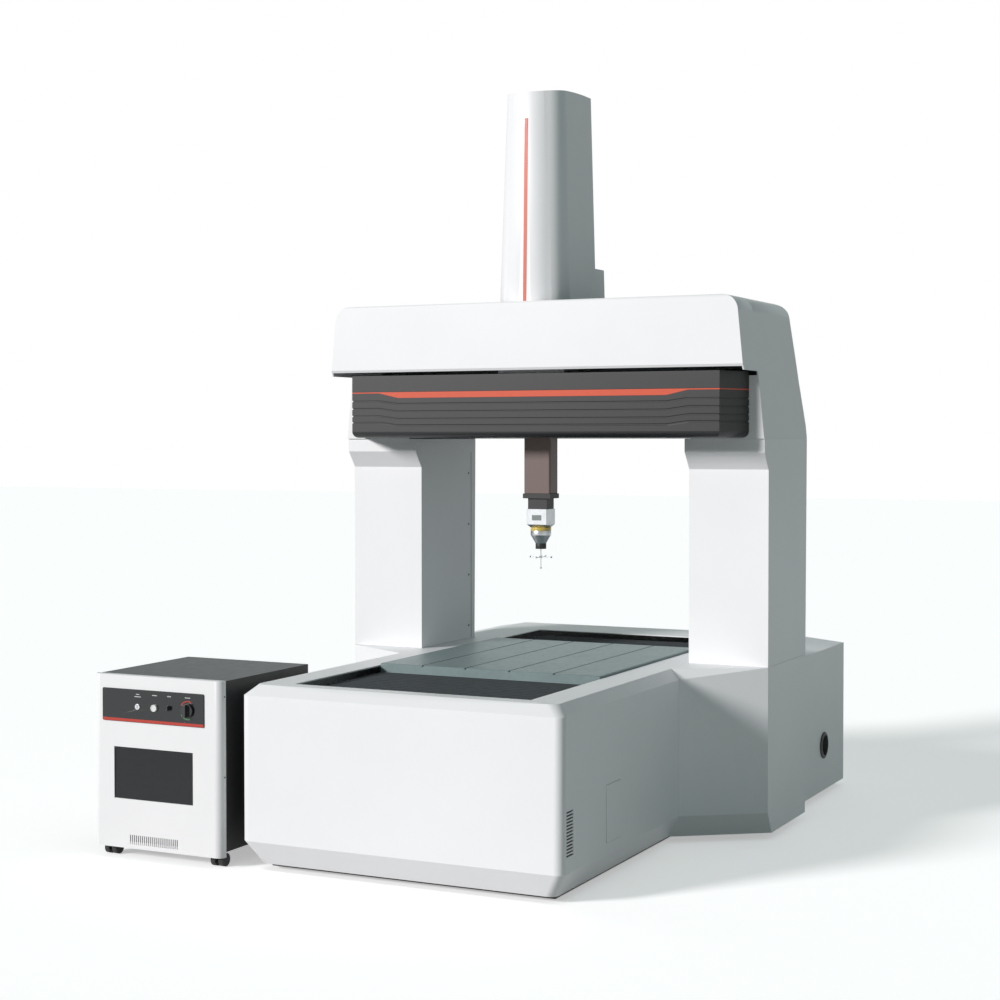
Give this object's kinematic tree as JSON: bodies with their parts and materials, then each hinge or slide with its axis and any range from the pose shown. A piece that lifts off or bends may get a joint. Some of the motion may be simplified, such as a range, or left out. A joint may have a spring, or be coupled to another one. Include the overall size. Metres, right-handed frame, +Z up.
{
  "type": "bridge coordinate measuring machine",
  "caption": "Fixed-bridge coordinate measuring machine with a moving table, a touch probe on a vertical ram and a controller cabinet on casters.",
  "frame": {"origin": "on the floor, on the machine's plane of symmetry, in the plane of the columns' front faces", "axes": "+Z up, +X along the bridge to the operator's right, +Y along the table's travel away from the operator"},
  "size_m": [2.254, 2.71, 3.034],
  "materials": {
    "white_paint": "satin",
    "cabinet_white": "satin",
    "black_paint": "satin",
    "orange_paint": "satin",
    "cast_grey": "painted, matte",
    "table_iron": "scraped and painted, matte",
    "ground_steel": "ground",
    "scale_glass": "polished",
    "isolator_rubber": "matte",
    "bearing_aluminium": "anodised",
    "bellows_fabric": "matte",
    "carriage_aluminium": "machined",
    "motor_black": "painted, matte",
    "ram_coating": "hard coated, satin",
    "black_plastic": "matte",
    "satin_silver": "satin",
    "yellow_plastic": "gloss",
    "stylus_steel": "polished",
    "smoked_window": "gloss, smoked",
    "black_gloss": "gloss",
    "key_chrome": "polished",
    "white_button": "gloss",
    "dark_knob": "matte",
    "caster_black": "matte",
    "caster_tread": "matte"
  },
  "bodies": {
    "machine": {"plinth": "black_paint", "isolators": "isolator_rubber", "base_casting": "cast_grey", "front_cover": "white_paint", "left_side_cover": "white_paint", "right_side_cover": "white_paint", "rear_cover": "white_paint", "service_hatch": "white_paint", "side_ports": "black_plastic", "y_guideways": "ground_steel", "linear_scales": "scale_glass", "axis_motors": "motor_black", "column_castings": "cast_grey", "left_column_cover": "white_paint", "right_column_cover": "white_paint", "x_beam": "cast_grey", "beam_front_cover": "white_paint", "left_beam_cap": "white_paint", "right_beam_cap": "white_paint", "beam_rear_cover": "white_paint", "fascia": "black_paint", "accent_stripe": "orange_paint", "front_bellows": "bellows_fabric", "rear_bellows": "bellows_fabric", "left_slot_bellows": "bellows_fabric", "right_slot_bellows": "bellows_fabric", "cabinet_housing": "black_paint", "cabinet_front_panel": "cabinet_white", "cabinet_window": "smoked_window", "control_strip": "black_gloss"},
    "table": {"table_plate": "table_iron", "table_saddle": "table_iron", "table_air_bearings": "bearing_aluminium"},
    "y_screw": {"y_screw": "ground_steel"},
    "x_carriage": {"x_carriage": "carriage_aluminium", "carriage_air_bearings": "bearing_aluminium", "z_cover": "white_paint", "z_cover_line": "orange_paint", "z_motor": "motor_black"},
    "x_screw": {"x_screw": "ground_steel"},
    "ram": {"ram": "ram_coating", "ram_flange": "black_plastic", "probe_head": "satin_silver", "probe_ring": "yellow_plastic", "probe_cone": "satin_silver", "stylus_module": "black_plastic", "stylus": "stylus_steel"},
    "z_screw": {"z_screw": "ground_steel"},
    "key_switch": {"key_switch": "key_chrome"},
    "push_button": {"push_button": "white_button"},
    "selector_switch": {"selector_switch": "dark_knob"},
    "power_knob": {"power_knob": "dark_knob"},
    "front_left_caster": {"front_left_caster": "caster_black"},
    "front_left_wheels": {"front_left_wheels": "caster_tread"},
    "front_right_caster": {"front_right_caster": "caster_black"},
    "front_right_wheels": {"front_right_wheels": "caster_tread"},
    "rear_left_caster": {"rear_left_caster": "caster_black"},
    "rear_left_wheels": {"rear_left_wheels": "caster_tread"},
    "rear_right_caster": {"rear_right_caster": "caster_black"},
    "rear_right_wheels": {"rear_right_wheels": "caster_tread"}
  },
  "joints": [
    {"name": "table_travel", "type": "slide", "parent": "machine", "child": "table", "axis": [0, 1, 0], "range_m": [-0.581, 0.429], "deforming": ["front_bellows", "rear_bellows"]},
    {"name": "y_screw_spin", "type": "hinge", "parent": "machine", "child": "y_screw", "pos_m": [0, -1.2, 0.532], "axis": [0, 1, 0], "continuous": true},
    {"name": "carriage_travel", "type": "slide", "parent": "machine", "child": "x_carriage", "axis": [1, 0, 0], "range_m": [-0.415, 0.495], "deforming": ["left_slot_bellows", "right_slot_bellows"]},
    {"name": "x_screw_spin", "type": "hinge", "parent": "machine", "child": "x_screw", "pos_m": [0, 0.215, 1.825], "axis": [1, 0, 0], "continuous": true},
    {"name": "ram_travel", "type": "slide", "parent": "x_carriage", "child": "ram", "axis": [0, 0, 1], "range_m": [-0.34, 0.265]},
    {"name": "z_screw_spin", "type": "hinge", "parent": "x_carriage", "child": "z_screw", "pos_m": [-0.04, 0.11, 2.7], "axis": [0, 0, 1], "continuous": true},
    {"name": "key_turn", "type": "hinge", "parent": "machine", "child": "key_switch", "pos_m": [-1.099, -1.35, 0.584], "axis": [0, -1, 0], "range_deg": [-90, 0]},
    {"name": "button_press", "type": "slide", "parent": "machine", "child": "push_button", "axis": [0, 1, 0], "range_m": [0, 0.004], "stiffness_N_per_m": 800, "springref_m": -0.001},
    {"name": "selector_turn", "type": "hinge", "parent": "machine", "child": "selector_switch", "pos_m": [-0.954, -1.35, 0.584], "axis": [0, -1, 0], "range_deg": [-60, 0]},
    {"name": "power_knob_turn", "type": "hinge", "parent": "machine", "child": "power_knob", "pos_m": [-0.87, -1.35, 0.584], "axis": [0, -1, 0], "range_deg": [-90, 0]},
    {"name": "front_left_caster_swivel", "type": "hinge", "parent": "machine", "child": "front_left_caster", "pos_m": [-1.261, -1.272, 0.06], "axis": [0, 0, 1], "continuous": true},
    {"name": "front_left_wheel_roll", "type": "hinge", "parent": "front_left_caster", "child": "front_left_wheels", "pos_m": [-1.261, -1.29, 0.025], "axis": [1, 0, 0], "continuous": true},
    {"name": "front_right_caster_swivel", "type": "hinge", "parent": "machine", "child": "front_right_caster", "pos_m": [-0.77, -1.272, 0.06], "axis": [0, 0, 1], "continuous": true},
    {"name": "front_right_wheel_roll", "type": "hinge", "parent": "front_right_caster", "child": "front_right_wheels", "pos_m": [-0.77, -1.29, 0.025], "axis": [1, 0, 0], "continuous": true},
    {"name": "rear_left_caster_swivel", "type": "hinge", "parent": "machine", "child": "rear_left_caster", "pos_m": [-1.261, -0.79, 0.06], "axis": [0, 0, 1], "continuous": true},
    {"name": "rear_left_wheel_roll", "type": "hinge", "parent": "rear_left_caster", "child": "rear_left_wheels", "pos_m": [-1.261, -0.808, 0.025], "axis": [1, 0, 0], "continuous": true},
    {"name": "rear_right_caster_swivel", "type": "hinge", "parent": "machine", "child": "rear_right_caster", "pos_m": [-0.77, -0.79, 0.06], "axis": [0, 0, 1], "continuous": true},
    {"name": "rear_right_wheel_roll", "type": "hinge", "parent": "rear_right_caster", "child": "rear_right_wheels", "pos_m": [-0.77, -0.808, 0.025], "axis": [1, 0, 0], "continuous": true}
  ],
  "couplings": [
    {"joint": "y_screw_spin", "follows": "table_travel", "rad_per_m": 314.16},
    {"joint": "x_screw_spin", "follows": "carriage_travel", "rad_per_m": 314.16},
    {"joint": "z_screw_spin", "follows": "ram_travel", "rad_per_m": 314.16}
  ]
}
